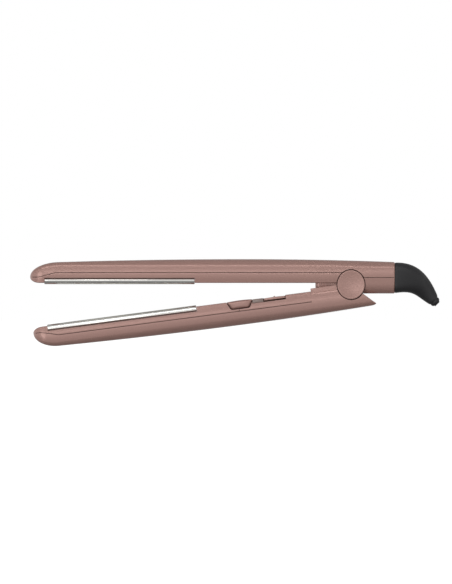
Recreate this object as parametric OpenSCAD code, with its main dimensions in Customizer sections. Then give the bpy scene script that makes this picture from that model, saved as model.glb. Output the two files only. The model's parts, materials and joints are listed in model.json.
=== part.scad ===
// Flat iron (hair straightener): two hinged arms with floating heated plates, drawn open.
// X runs from the tips to the cord end, Y across the arms and Z up; the upper arm is level.
// Each arm is drawn in an arm frame of its own: hinge axis at the origin, tip at -X, back
// of the arm at +Z and parting face just above Z = 0. The lower arm is that frame mirrored
// and swung down by the opening angle.

/* [Arms] */
// Width of each arm
arm_w = 30; // [29.6:0.2:31]
// Height of the parting face over the hinge axis
face_z = 1.25; // [1.2:0.05:1.3]
// Height of the seam between the inner and outer shells
seam_z = 8.8; // [8.7:0.1:9]
// Height of the crease where the side turns into the shoulder
crease_z = 14.1; // [13.8:0.1:14.3]
// Thickness of the shell walls
wall = 2; // [1.9:0.1:2.1]
// Angle between the arms when open
open_deg = 7.42; // [7:0.01:8]

/* [Plates] */
// Length of each heated plate
plate_len = 110; // [108:1:112]
// Distance from the hinge axis to the rear end of the plates
plate_rear = 114.5; // [114:0.5:116]
// Width of each plate
plate_w = 27.2; // [26.8:0.2:27.4]
// How far a plate stands proud of the parting face
plate_proud = 0.95; // [0.8:0.05:1]
// How far a plate can be pressed into its arm
plate_float = 0.8; // [0.5:0.1:0.9]

/* [Hinge] */
// Radius of the round hinge covers
cover_r = 10.7; // [10.5:0.1:10.8]
// Radius of the hinge pin
pin_r = 2; // [1.8:0.1:2.2]
// Radial clearance of the hinge pin in its bushes
pin_clear = 0.05; // [0.03:0.01:0.08]

/* [Controls] */
// Distance from the hinge axis to the middle of the power button
button_x = 82.5; // [82:0.5:83]
// Travel of the power button
button_travel = 0.5; // [0.3:0.1:0.6]
// Distance from the hinge axis to the middle of the temperature rocker
rocker_x = 56.8; // [56.6:0.1:57]
// Length of the temperature rocker
rocker_len = 15.4; // [15:0.1:15.6]

/* [Cord outlet] */
// Radius of the hole for the cord in the swivel bush
cord_hole_r = 2.3; // [2:0.05:2.5]
// Direction of the outlet, turned from straight up towards the rear
outlet_deg = 135; // [134:0.5:136]

/* [Hidden] */

// Place of the hinge axis, so that the origin is at the middle of the bottom of the box
hinge_at = [84.85, 0, 45.08];

rose = [0.62, 0.49, 0.455];
black = [0.17, 0.17, 0.18];
silver = [0.8, 0.8, 0.79];
steel = [0.6, 0.61, 0.62];
board_green = [0.1, 0.35, 0.2];
lead_red = [0.6, 0.1, 0.08];

// An arm is [reach of the tip, length of the tip's curve, place of the thickest point,
// height there, radius of the back in front of it, radius of the back behind it]
upper_arm = [235.1, 22, -78, 18.7, 4340, 2900];
lower_arm = [235.4, 18.5, -88, 19, 4100, 2950];
tip_z = 5.6;              // height of the foremost point of the tip
nose_len = 7;             // length of the curve under the tip
tip_corner_r = 11;        // corner of the tip seen from above
shoulder_r = 9;           // radius of the shoulder over the crease
shoulder_turn = 25;       // angle at which the shoulder leaves the crease
housing_rear = 32.1;      // rear end of the upper arm, where the boot starts
housing_z = -6.5;         // underside of the upper arm's rear housing
rear_seam_z = 5.2;        // seam level behind the hinge and round the tip
seam_gap = 0.15;          // half of the groove along the seam
lip = 1.5;                // height of the tongue inside the seam
lip_out = 1.1;            // how far the tongue lies inside the outer surface

plate_front = plate_rear + plate_len;
plate_gap = 0.8;          // gap between a plate's end and the shell
notch_z = 4.96;           // level of the shell wall over the plate's edge
plate_face = face_z - plate_proud;
plate_edge_r = 3;         // rounded long edges of the plate
plate_top = notch_z - plate_float - 0.22; // upper edge of the plate's sides
plate_base = 2.8;         // back of the plate's flat web
hook_z = 6.2;             // underside of the rails' hooks
ledge_z = 4.98;           // underside of the carrier's ledge
carrier_top = 10.6;       // top of the carrier's floor
carrier_w = 25.5;         // width of the plate carrier

cover_gap = 0.35;         // gap round the hinge covers
knuckle_half = 8.8;       // half width of the upper arm's knuckle
knuckle_r = 7.5;
ear_in = 9.1;             // the lower arm's ears, measured from the middle
ear_out = 11.8;
ear_r = 8.2;              // radius of the ears round the pin
cover_in = 12.1;          // the covers, measured from the middle
cover_out = 14.9;
bush_r = 3.2;             // outer radius of the hinge bushes
step_front = 29.5;        // front of the ears' feet on the lower arm
step_h = 2.2;
lug_front = 26;           // front of the knuckle's foot on the upper arm
lug_z = -2.5;
coil_r = 4.6;             // mean radius of the opening spring
wire_r = 0.6;
spring_half = 4.4;        // half width of the spring's room

button_half = 8.75;       // half length of the power button at the face
button_depth = 5.5;       // depth of the button's sides below the face
panel_front = 73.4;       // slot for the lens and the rocker
panel_rear = 48.6;
panel_z = 4.35;
control_split = 83.5;     // joint between the inner shell and the control cover
cover_end = 30.6;         // rear end of the control cover
shelf_z = 6.9;            // underside of the shelf below the power button
pivot_z = 5.1;            // rocker pivot
pivot_r = 0.9;
board_z = 11.2;           // underside of the control board
switch_tip = 8.3;         // plungers of the touch switches
rocker_gap = 0.6;         // gap between the rocker's stems and their switches

outlet_at = [60.9, 0, -11.75];
sleeve_r = 3.3;
sleeve_len = 12;          // length of the bush inside the boot
dome_r = 3.75;            // rounded outer end of the bush
dome_h = 4.4;

// ---- Placing -------------------------------------------------------------------------

module on_upper() { translate(hinge_at) children(); }

module on_lower() { translate(hinge_at) rotate([0, -open_deg, 0]) mirror([0, 0, 1]) children(); }

// Extrudes an outline drawn in X and Z across the arm, between two distances from the middle
module across(from, to) {
    translate([0, to, 0]) rotate([90, 0, 0]) linear_extrude(to - from) children();
}

// Extrudes an outline drawn in Y and Z along the arm
module along(from, to) {
    translate([from, 0, 0]) rotate([90, 0, 90]) linear_extrude(to - from) children();
}

// Draws its children on both sides of the arm
module both_sides() {
    children();
    mirror([0, 1, 0]) children();
}

// A box from its lowest corner to its highest corner
module block(low, high) { translate(low) cube(high - low); }

// A round bar across the arm
module bar(r, from, to, at = [0, 0]) {
    translate([at[0], to, at[1]]) rotate([90, 0, 0]) cylinder(r = r, h = to - from, $fn = 64);
}

// A round rod along the arm or across it
module rod(p, length, r, turn) {
    translate(p) rotate(turn) cylinder(r = r, h = length, center = true, $fn = 32);
}

// A tube of eight-sided rings that follows a list of points
module sweep(path, r) {
    sides = 8;
    last = len(path) - 1;
    function ahead(i) = path[min(i + 1, last)] - path[max(i - 1, 0)];
    function unit(v) = v / norm(v);
    rings = [for (i = [0 : last])
        let (d = unit(ahead(i)), u = unit(cross(d, [0, 1, 0.01])), v = cross(d, u))
        for (k = [0 : sides - 1])
            path[i] + r * (cos(360 * k / sides) * u + sin(360 * k / sides) * v)];
    polyhedron(points = rings, faces = tube_faces(last, sides), convexity = 6);
}

// Faces of a closed tube made of rings of points
function tube_faces(last, sides) = concat(
    [[for (k = [0 : sides - 1]) k]],
    [for (i = [0 : last - 1], k = [0 : sides - 1])
        let (a = i * sides, n = (k + 1) % sides)
        [a + n, a + k, a + sides + k, a + sides + n]],
    [[for (k = [sides - 1 : -1 : 0]) last * sides + k]]);

// ---- The arms' outer form -------------------------------------------------------------

function back_height(arm, x) =
    arm[3] - pow(x - arm[2], 2) / (2 * (x < arm[2] ? arm[4] : arm[5]));

// Points on a quarter of an ellipse round a middle point
function curve(middle, a, b, from, to, steps) =
    [for (i = [0 : steps]) let (t = from + (to - from) * i / steps)
        [middle[0] + a * cos(t), middle[1] + b * sin(t)]];

// The left half of an outline, from the points of its right half
function mirrored(right) = [for (i = [len(right) - 1 : -1 : 0]) [-right[i][0], right[i][1]]];

// Side outline of an arm from under the tip, over the back, to the rear
function side_points(arm, inset, rear) =
    let (tip_x = arm[1] - arm[0], tip_h = back_height(arm, arm[1] - arm[0]) - tip_z)
    concat(
        curve([nose_len - arm[0], tip_z], nose_len - inset, tip_z - face_z - inset, 270, 180, 6),
        curve([tip_x, tip_z], arm[1] - inset, tip_h - inset, 180, 90, 12),
        [for (i = [1 : 20]) let (x = tip_x + (rear - tip_x) * i / 20)
            [x, back_height(arm, x) - inset]]);

// Outline of the arm from above, with rounded tip corners
module plan(arm, inset, rear) {
    half = arm_w / 2 - inset;
    r = tip_corner_r - inset;
    corner = [tip_corner_r - arm[0], half - r];
    polygon(concat(
        curve(corner, r, r, 180, 90, 8),
        [[rear, half], [rear, -half]],
        curve([corner[0], -corner[1]], r, r, 270, 180, 8)));
}

// Cross-section of an arm: slightly barrelled sides and rounded shoulders
module section(inset) {
    half = arm_w / 2 - inset;
    r = shoulder_r - inset;
    middle = [arm_w / 2 - 0.3 - shoulder_r * cos(shoulder_turn),
              crease_z - shoulder_r * sin(shoulder_turn)];
    low_r = 2.5 - inset / 2;
    low = [half - 0.4 - low_r, housing_z - 0.4 + inset + low_r];
    right = concat(
        curve(low, low_r, low_r, -90, 0, 4),
        [[half, seam_z]],
        curve(middle, r, r, shoulder_turn, 90, 8));
    polygon(concat(right, mirrored(right)));
}

// Solid form of an arm, inset evenly, within a side outline
module arm_form(arm, inset, rear, outline) {
    intersection() {
        across(-arm_w, arm_w) polygon(outline);
        translate([0, 0, -20]) linear_extrude(60) plan(arm, inset, rear);
        along(-arm[0] - 5, rear) section(inset);
    }
}

function upper_outline(inset) = concat(
    side_points(upper_arm, inset, housing_rear),
    [[housing_rear, housing_z + 0.3 + inset], [16, housing_z - 0.35 + inset],
     [10.4 + inset, housing_z - 0.1 + inset], [8.9 + inset, housing_z + 0.6 + inset],
     [8.9 + inset, face_z + inset]]);

// The lower arm's tail behind the hinge ends in a rounded corner; its hollow ends square
function lower_outline(inset) = inset > 0
    ? concat(side_points(lower_arm, inset, 6), [[6, face_z + inset]])
    : concat(side_points(lower_arm, 0, 14),
        [[15.6, 17], [16.5, 16.1], [16.1, 15.2], [14.6, 14.1], [7.4, 7.2], [3, face_z]]);

module upper_form(inset) {
    arm_form(upper_arm, inset, housing_rear, upper_outline(inset));
}

module lower_form(inset) { arm_form(lower_arm, inset, 20, lower_outline(inset)); }

// Everything over the seam, which drops round the tip and again at its rear end
module over_seam(lift, end, rear_z) {
    across(-arm_w, arm_w) polygon([
        [-250, rear_seam_z + lift], [-231.3, rear_seam_z + lift], [-226.4, 6.4 + lift],
        [-219, 8.4 + lift], [-216.5, seam_z + lift], [end, seam_z + lift],
        [end, rear_z + lift], [70, rear_z + lift], [70, 40], [-250, 40]]);
}

// Space over the plate: the shell's lower edge is cut away along the whole plate
module plate_notch() {
    block([-plate_front - plate_gap, -arm_w, -5], [-plate_rear + plate_gap, arm_w, notch_z]);
}

// Room for the round covers in the sides of an arm
module cover_room() {
    both_sides() bar(cover_r + cover_gap, cover_in - 0.05, arm_w);
}

// Hollow of an arm, with solid walls left at both ends of the plate notch
module hollow(top) {
    difference() {
        children();
        block([-plate_front - plate_gap - wall, -arm_w, -5], [-plate_front - plate_gap, arm_w, top]);
        block([-plate_rear + plate_gap, -arm_w, -5], [-plate_rear + plate_gap + wall, arm_w, top]);
    }
}

// Bosses for the screws that hold a carrier to the back of its arm
screw_places = [-214, -125];

module back_bosses(arm) {
    for (x = screw_places) translate([x, 0, carrier_top + 0.05]) difference() {
        cylinder(r = 3, h = back_height(arm, x) - carrier_top - 1, $fn = 32);
        translate([0, 0, -1]) cylinder(r = 1.1, h = 5.5, $fn = 32);
    }
}

// Posts that hold a circuit board
module posts(places, from, to) {
    for (x = places, y = [-8, 8]) translate([x, y, from]) cylinder(r = 1.5, h = to - from, $fn = 32);
}

// ---- Upper arm ------------------------------------------------------------------------

module upper_outer_shell() {
    color(rose) on_upper() {
        difference() {
            intersection() {
                upper_form(0);
                over_seam(seam_gap, 0, rear_seam_z);
            }
            upper_form(wall);
            // Rebate for the tongue of the inner shell
            difference() {
                upper_form(lip_out - 0.1);
                over_seam(lip + 0.2, 0, rear_seam_z);
            }
            cover_room();
            block([housing_rear - wall - 0.5, -12.6, -4], [housing_rear + 1, 12.6, 13.3]);
        }
        back_bosses(upper_arm);
    }
}

module upper_inner_shell() {
    color(rose) on_upper() difference() {
        union() {
            difference() {
                upper_form(0);
                over_seam(-seam_gap, 0, rear_seam_z);
                hollow(notch_z + wall) upper_form(wall);
            }
            // Tongue inside the seam
            difference() {
                upper_form(lip_out);
                over_seam(lip, 0, rear_seam_z);
                upper_form(wall + 0.1);
                across(-arm_w, arm_w) polygon([[-250, -10], [50, -10], [50, 3.5], [0, 3.5],
                    [0, 7], [-217, 7], [-224, 5], [-250, 3.5]]);
                block([-3, -arm_w, -10], [3, arm_w, 40]);
            }
            upper_knuckle();
            posts([-98, -40], face_z + wall - 0.5, 5.2);
        }
        plate_notch();
        cover_room();
        // Room for the lower arm's ears and their bushes
        both_sides() bar(ear_r + 0.5, knuckle_half, cover_in);
        bar(pin_r, -arm_w, arm_w);
        // Room for the opening spring and its legs
        bar(coil_r + 1.4, -spring_half, spring_half);
        block([-18, spring_half - 2, coil_r - 1.1], [0, spring_half, 9]);
        block([-12, -spring_half, -9], [0, 2 - spring_half, 1.1 - coil_r]);
        // Opening for the boot's spigot
        block([housing_rear - wall - 0.5, -12.6, -4.4], [housing_rear + 1, 12.6, 13.3]);
    }
}

// Foot, knuckle and bridge that carry the hinge pin and join it to the rear housing
module upper_knuckle() {
    across(-knuckle_half, knuckle_half) polygon([
        [-lug_front + 1, lug_z], [-6, lug_z], [0, -5], [10.5, -5], [10.5, 4],
        [0, 6], [-6, 4], [-lug_front, face_z + wall], [-lug_front, lug_z + 1]]);
    bar(knuckle_r, -knuckle_half, knuckle_half);
}

// Frame that holds a plate by its hooks and leaves it free to move into the arm
module plate_carrier() {
    front = -plate_front - plate_gap + 0.1;
    rear = -plate_rear + plate_gap - 0.1;
    color(black) difference() {
        block([front, -carrier_w / 2, ledge_z], [rear, carrier_w / 2, carrier_top]);
        // Room for the hooks and the heater over the ledges
        block([front + 1.5, -carrier_w / 2 + 1.2, hook_z - 0.02],
              [rear - 1.5, carrier_w / 2 - 1.2, carrier_top - 1.2]);
        // Throat between the ledges
        block([front + 1.5, -10.8, 0], [rear - 1.5, 10.8, hook_z + 1]);
        for (x = screw_places) translate([x, 0, 0]) cylinder(r = 1.6, h = 20, $fn = 32);
    }
}

module upper_plate_carrier() { on_upper() plate_carrier(); }

// Bowed strips between the carrier's floor and the heater clamp
spring_places = [-196, -143];

module plate_springs() {
    color(steel) for (x = spring_places) translate([x, 0, 0]) across(-4, 4) difference() {
        polygon(concat(curve([0, 9.38], 11, 3.28, 180, 360, 16), [[11, 9.38], [-11, 9.38]]));
        polygon(concat(curve([0, 9.4], 10.7, 2.98, 180, 360, 16), [[10.7, 9.4], [-10.7, 9.4]]));
    }
}

module upper_plate_springs() { on_upper() plate_springs(); }

module carrier_screws() {
    color(steel) for (x = screw_places) translate([x, 0, carrier_top - 1.2]) {
        translate([0, 0, -1.3]) difference() {
            cylinder(r = 2.6, h = 1.3, $fn = 32);
            for (turn = [0, 90]) rotate(turn) translate([-1.4, -0.25, -1]) cube([2.8, 0.5, 1.7]);
        }
        cylinder(r = 1.1, h = 4.8, $fn = 32);
    }
}

module upper_screws() { on_upper() carrier_screws(); }

// Heated plate: flat face, rounded long edges and two hooked rails on its back
module heated_plate() {
    half = plate_w / 2;
    edge = plate_face + plate_edge_r;
    right = concat(
        curve([half - plate_edge_r, edge], plate_edge_r, plate_edge_r, 270, 360, 8),
        [[half, plate_top], [half - 1.2, plate_top], [half - 1.7, plate_base],
         [10.5, plate_base], [10.5, hook_z], [11.4, hook_z], [11.4, hook_z + 1],
         [9, hook_z + 1], [9, plate_base]]);
    color(silver) difference() {
        along(-plate_front, -plate_rear) polygon(concat(right, mirrored(right)));
        // The rails stop short of the plate's ends
        for (x = [-plate_front, -plate_rear])
            block([x - 2, -arm_w, plate_base], [x + 2, arm_w, hook_z + 2]);
    }
}

module upper_plate() { on_upper() heated_plate(); }

// Ceramic heater strip lying on the back of the plate
module heater_strip() {
    color([0.9, 0.88, 0.82])
        block([-plate_front + 12, -7, plate_base], [-plate_rear - 12, 7, plate_base + 1.6]);
}

module upper_heater() { on_upper() heater_strip(); }

// Channel that clamps the heater between the plate's rails
module heater_clamp() {
    low = plate_base + 1.6;
    color(silver) difference() {
        block([-plate_front + 8, -8.9, plate_base], [-plate_rear - 8, 8.9, 6]);
        block([-plate_front, -7.2, 0], [-plate_rear, 7.2, low]);
        translate([-170, 0, 0]) cube([13, 8, 20], center = true);
    }
}

module upper_heater_clamp() { on_upper() heater_clamp(); }

// Thermostat and fuse bulb standing on the heater through the clamp's window
module thermostat() {
    color([0.85, 0.8, 0.7]) {
        block([-175, -3, plate_base + 1.6], [-165, 3, 7.4]);
        rod([-170, 0, 7], 19, 0.4, [0, 90, 0]);
    }
}

module upper_thermostat() { on_upper() thermostat(); }

module upper_leads() {
    color(lead_red) on_upper() for (y = [-6, 6])
        sweep([[-180, y, 12.9], [-100, y, 12.9], [-18, y, 12.9], [0, y, 11.9],
               [16, y, 10], [30, y, 7], [40, y, 3.5]], 0.8);
}

module power_board() {
    color(board_green) on_upper()
        block([-102, -11, 5.2], [-34, 11, 6.8]);
}

module power_board_parts() {
    color(black) on_upper() {
        translate([-90, -4, 6.8]) cylinder(r = 2.8, h = 4.6, $fn = 32);
        block([-80, -8, 6.8], [-66, 4, 11.6]);
        block([-60, -3, 6.8], [-50, 3, 11]);
        rod([-46, 0, 8.2], 12, 1.4, [90, 0, 0]);
        block([-101, 4, 6.8], [-95, 9, 11]);
    }
}

// ---- Hinge ----------------------------------------------------------------------------

module hinge_pin() {
    color(steel) on_upper() difference() {
        bar(pin_r, -cover_in, cover_in);
        both_sides() bar(1, cover_in - 4, cover_in + 1);
    }
}

// Round cover with a dished face and a peg that plugs into the pin
module hinge_cover() {
    dish_r = 80;
    difference() {
        union() {
            bar(cover_r, cover_in, cover_out);
            bar(1, cover_in - 3.5, cover_in + 1);
        }
        translate([0, cover_out + dish_r - 0.55, 0]) sphere(r = dish_r, $fn = 200);
    }
}

module left_hinge_cover() { color(rose) on_upper() hinge_cover(); }

module right_hinge_cover() { color(rose) on_upper() mirror([0, 1, 0]) hinge_cover(); }

module hinge_bushes() {
    color([0.8, 0.65, 0.35]) on_lower() both_sides() difference() {
        union() {
            bar(bush_r, knuckle_half + 0.03, ear_out);
            bar(bush_r + 1.4, knuckle_half + 0.03, ear_in - 0.02);
        }
        bar(pin_r + pin_clear, 0, arm_w);
    }
}

// Torsion spring round the pin that pushes the arms apart
module hinge_spring() {
    turns = 5;
    steps = 18;
    color(steel) on_upper() sweep(concat(
        [[-16, 3.4, coil_r], [-8, 3.4, coil_r]],
        [for (i = [0 : turns * steps + steps / 2])
            let (t = 90 - 360 * i / steps)
            [coil_r * cos(t), 3.4 - 6.8 * i / (turns * steps + steps / 2), coil_r * sin(t)]],
        [[-5, -3.4, -coil_r], [-10, -3.4, -coil_r]]), wire_r);
}

// ---- Cord boot ------------------------------------------------------------------------

// Point on a Bezier curve through four control points
function bezier(p, t) = pow(1 - t, 3) * p[0] + 3 * pow(1 - t, 2) * t * p[1]
    + 3 * (1 - t) * t * t * p[2] + pow(t, 3) * p[3];

boot_top = [[housing_rear, 16.6], [51.5, 16.5], [58, 4.5], [64.2, -8.5]];
boot_low = [[housing_rear, -6.3], [45.8, -4.4], [46.5, -7.4], [57.6, -15]];

// Curved horn that narrows from the housing's section to the round outlet
module horn(inset, from, to) {
    rings = 14;
    sides = 32;
    points = [for (i = [0 : rings])
        let (t = from + (to - from) * i / rings,
             top = bezier(boot_top, t), low = bezier(boot_low, t),
             middle = (top + low) / 2, up = (top - low) / 2,
             high = up * (1 - inset / norm(up)),
             wide = 14.7 - 10.1 * t * t * (3 - 2 * t) - inset,
             power = 2 / (6 - 4 * min(1, 2 * t)))
        for (k = [0 : sides - 1])
            let (c = cos(360 * k / sides), s = sin(360 * k / sides),
                 h = sign(s) * pow(abs(s), power), w = sign(c) * pow(abs(c), power))
            [middle[0] + high[0] * h, wide * w, middle[1] + high[1] * h]];
    polyhedron(points = points, faces = tube_faces(rings, sides), convexity = 6);
}

// Turns its children so that Z runs out of the cord outlet
module at_outlet() { translate(outlet_at) rotate([0, outlet_deg, 0]) children(); }

module cord_boot() {
    color(black) on_upper() difference() {
        union() {
            horn(0, 0, 1);
            difference() {
                block([housing_rear - wall - 2, -12.5, -3.9], [housing_rear + 0.2, 12.5, 13.2]);
                block([housing_rear - 9, -10.9, -2.3], [housing_rear + 1, 10.9, 11.6]);
            }
        }
        horn(wall, -0.02, 0.72);
        at_outlet() {
            translate([0, 0, -sleeve_len - 1]) cylinder(r = 5, h = sleeve_len - 5, $fn = 48);
            translate([0, 0, -sleeve_len]) cylinder(r = sleeve_r + 0.05, h = 20, $fn = 64);
        }
    }
}

// Bush that turns in the boot's outlet and guides the cord
module swivel_bush() {
    color(black) on_upper() at_outlet() rotate_extrude($fn = 64) polygon(concat(
        [[cord_hole_r, -sleeve_len], [sleeve_r, -sleeve_len], [sleeve_r, 0.3], [dome_r, 0.3]],
        curve([0, 0.6], dome_r, dome_h, 0, acos(cord_hole_r / dome_r), 8)));
}

// Ring clipped on the inner end of the bush, which stops it pulling out
module swivel_retainer() {
    color(steel) on_upper() at_outlet() translate([0, 0, -9]) difference() {
        cylinder(r = 4.7, h = 1.2, $fn = 48);
        translate([0, 0, -1]) cylinder(r = sleeve_r, h = 4, $fn = 64);
    }
}

// ---- Lower arm ------------------------------------------------------------------------

// Outer shell, with the solid yoke at the hinge and its two ears
module lower_outer_shell() {
    color(rose) on_lower() {
        difference() {
            union() {
                intersection() {
                    lower_form(0);
                    over_seam(seam_gap, -cover_end, -20);
                }
                both_sides() across(ear_in, ear_out) polygon([
                    [-step_front + 0.3, face_z - step_h], [-4, face_z - step_h], [4, 5],
                    [3, 8], [-step_front, 7.5], [-step_front, face_z - 1.8]]);
                both_sides() bar(ear_r, ear_in, ear_out);
            }
            intersection() {
                lower_form(wall);
                block([-260, -arm_w, 0], [-cover_end + 1, arm_w, 40]);
            }
            // Hollow of the yoke, with a passage for the leads
            intersection() {
                lower_form(wall + 0.6);
                block([-cover_end, -7, 10.4], [8, 7, 40]);
            }
            // Rebate for the tongue of the inner shells
            intersection() {
                lower_form(lip_out - 0.1);
                block([-260, -arm_w, 0], [-cover_end + 0.2, arm_w, seam_z + lip + 0.2]);
            }
            cover_room();
            // Room for the upper arm's knuckle, foot and bridge
            bar(knuckle_r + 0.5, -ear_in, ear_in);
            block([-lug_front - 1.3, -ear_in, -15], [0, ear_in, 3.6]);
            block([0, -ear_in, -15], [25, ear_in, 6.5]);
            // Slot for the spring's lower leg
            block([-14, -4.4, 0], [0, -2.2, 6]);
            both_sides() bar(bush_r, 0, arm_w);
        }
        back_bosses(lower_arm);
        posts([-94, -44], board_z + 1.6, back_height(lower_arm, -44) - 1);
    }
}

// Walls of the inner half of the lower arm, between two places along it
module inner_half(from, to) {
    intersection() {
        union() {
            difference() {
                lower_form(0);
                over_seam(-seam_gap, 50, seam_z - 1);
                hollow(notch_z + wall) lower_form(wall);
            }
            difference() {
                lower_form(lip_out);
                over_seam(lip, 50, seam_z - 1);
                lower_form(wall + 0.1);
                across(-arm_w, arm_w) polygon([[-250, -10], [50, -10], [50, 7],
                    [-217, 7], [-224, 5], [-250, 3.5]]);
            }
        }
        block([from, -arm_w, -5], [to, arm_w, 30]);
    }
}

// Notch for the power button, wider at the face than at its bottom
module button_notch(clear, depth) {
    half = button_half + clear;
    across(-arm_w, arm_w) polygon(concat(
        [[-button_x + half, -5], [-button_x - half, -5], [-button_x - half, face_z + 0.6]],
        curve([-button_x - half + 4.2, face_z + depth - 2], 2, 2, 170, 90, 5),
        curve([-button_x + half - 4.2, face_z + depth - 2], 2, 2, 90, 10, 5),
        [[-button_x + half, face_z + 0.6]]));
}

module lower_inner_shell() {
    color(rose) on_lower() difference() {
        inner_half(-260, -control_split - 0.1);
        plate_notch();
        button_notch(0.4, button_depth);
    }
}

// Rear part of the inner half: carries the button, the rocker and the display
module control_cover() {
    color(rose) on_lower() difference() {
        union() {
            difference() {
                inner_half(-control_split + 0.1, -cover_end - 0.1);
                button_notch(0.4, button_depth);
                block([-panel_front, -arm_w, -5], [-panel_rear, arm_w, panel_z]);
            }
            // Shelf under the button, stepping up to the one under the lens and the rocker
            block([-button_x - 8, -12.6, shelf_z], [-control_split + 1, 12.6, shelf_z + 1]);
            block([-control_split + 0.1, -13.3, shelf_z], [-panel_front, 13.3, shelf_z + 1]);
            block([-panel_front - 1, -12.9, panel_z], [-panel_front, 12.9, shelf_z + 1]);
            block([-panel_front - 1, -13.3, panel_z], [-panel_rear + 1, 13.3, panel_z + 1.6]);
        }
        // Holes for the button's and the rocker's stems
        translate([-button_x, 0, 0]) cylinder(r = 2.3, h = 20, $fn = 32);
        for (x = rocker_stems) translate([x, 0, 0]) cylinder(r = 2.1, h = 20, $fn = 32);
        // Window for the display
        block([-72.6, -9.2, 0], [-65.4, 9.2, 20]);
        // Cradle for the rocker's pivot
        bar(pivot_r + 0.05, -12.3, 12.3, [-rocker_x, pivot_z]);
        block([-rocker_x - 1.2, -10.5, panel_z - 1], [-rocker_x + 1.2, 10.5, pivot_z + 2]);
    }
}

module lower_plate_carrier() { on_lower() plate_carrier(); }

module lower_plate_springs() { on_lower() plate_springs(); }

module lower_screws() { on_lower() carrier_screws(); }

module lower_plate() { on_lower() heated_plate(); }

module lower_heater() { on_lower() heater_strip(); }

module lower_heater_clamp() { on_lower() heater_clamp(); }

module lower_thermostat() { on_lower() thermostat(); }

module lower_leads() {
    color(lead_red) on_lower() for (y = [-5, 5])
        sweep([[-180, y, 13.3], [-112, y, 13.3], [-104, y, 14], [-96, y, 14.6],
               [-34, y, 14.6], [-24, y, 13.8], [-4, y, 13]], 0.8);
}

// ---- Controls on the lower arm ---------------------------------------------------------

// Cap that wraps over the edge on both sides, with a stem under its middle
module power_button() {
    half = arm_w / 2 - 0.6;
    color(rose) on_lower() {
        difference() {
            intersection() {
                button_notch(0, button_depth - 0.7);
                across(-half, half) polygon(concat(
                    curve([-button_x, face_z + 2], button_half + 2, 2.3, 180, 360, 16),
                    [[-button_x + 20, 20], [-button_x - 20, 20]]));
            }
            block([-100, -half + 1.6, face_z + 1.3], [-60, half - 1.6, 20]);
        }
        translate([-button_x, 0, face_z + 1])
            cylinder(r = 2, h = switch_tip - button_travel - 0.15 - face_z - 1, $fn = 48);
    }
}

rocker_stems = [-rocker_x - 5, -rocker_x + 5];

// Rocking bar: one end raises the temperature, the other lowers it
module temperature_rocker() {
    half = arm_w / 2 - 1;
    middle = -rocker_x;
    color(rose) on_lower() difference() {
        union() {
            block([middle - rocker_len / 2, -half, face_z + 0.1],
                  [middle + rocker_len / 2, half, face_z + 2.3]);
            bar(pivot_r, -12.1, 12.1, [middle, pivot_z]);
            block([middle - 0.7, -10, face_z + 2], [middle + 0.7, 10, pivot_z]);
            bar(0.8, -5, 5, [middle, face_z + 0.3]);
            for (x = rocker_stems) translate([x, 0, face_z + 2])
                cylinder(r = 1.4, h = switch_tip - rocker_gap - face_z - 2, $fn = 32);
        }
    }
}

module display_lens() {
    color([0.45, 0.45, 0.45]) on_lower()
        block([-panel_front + 0.2, -14, face_z + 0.15], [-64.9, 14, panel_z]);
}

module display_module() {
    color(black) on_lower() block([-72.4, -9, panel_z + 0.1], [-65.6, 9, board_z]);
}

module control_board() {
    color(board_green) on_lower() block([-98, -11, board_z], [-40, 11, board_z + 1.6]);
}

module touch_switches() {
    color(black) on_lower() for (x = concat([-button_x], rocker_stems)) {
        translate([x, 0, board_z - 0.9]) cube([6, 6, 1.8], center = true);
        translate([x, 0, switch_tip]) cylinder(r = 1.6, h = 2, $fn = 32);
    }
}

upper_outer_shell();
upper_inner_shell();
upper_plate_carrier();
upper_plate_springs();
upper_screws();
upper_plate();
upper_heater();
upper_heater_clamp();
upper_thermostat();
upper_leads();
power_board();
power_board_parts();
hinge_pin();
hinge_spring();
left_hinge_cover();
right_hinge_cover();
cord_boot();
swivel_bush();
swivel_retainer();
lower_outer_shell();
lower_inner_shell();
control_cover();
lower_plate_carrier();
lower_plate_springs();
lower_screws();
lower_plate();
lower_heater();
lower_heater_clamp();
lower_thermostat();
lower_leads();
hinge_bushes();
power_button();
temperature_rocker();
display_lens();
display_module();
control_board();
touch_switches();
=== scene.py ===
"""Looks of the flat iron: smooth shells, plates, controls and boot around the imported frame."""

import json
import math
from types import SimpleNamespace as Shape

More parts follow.
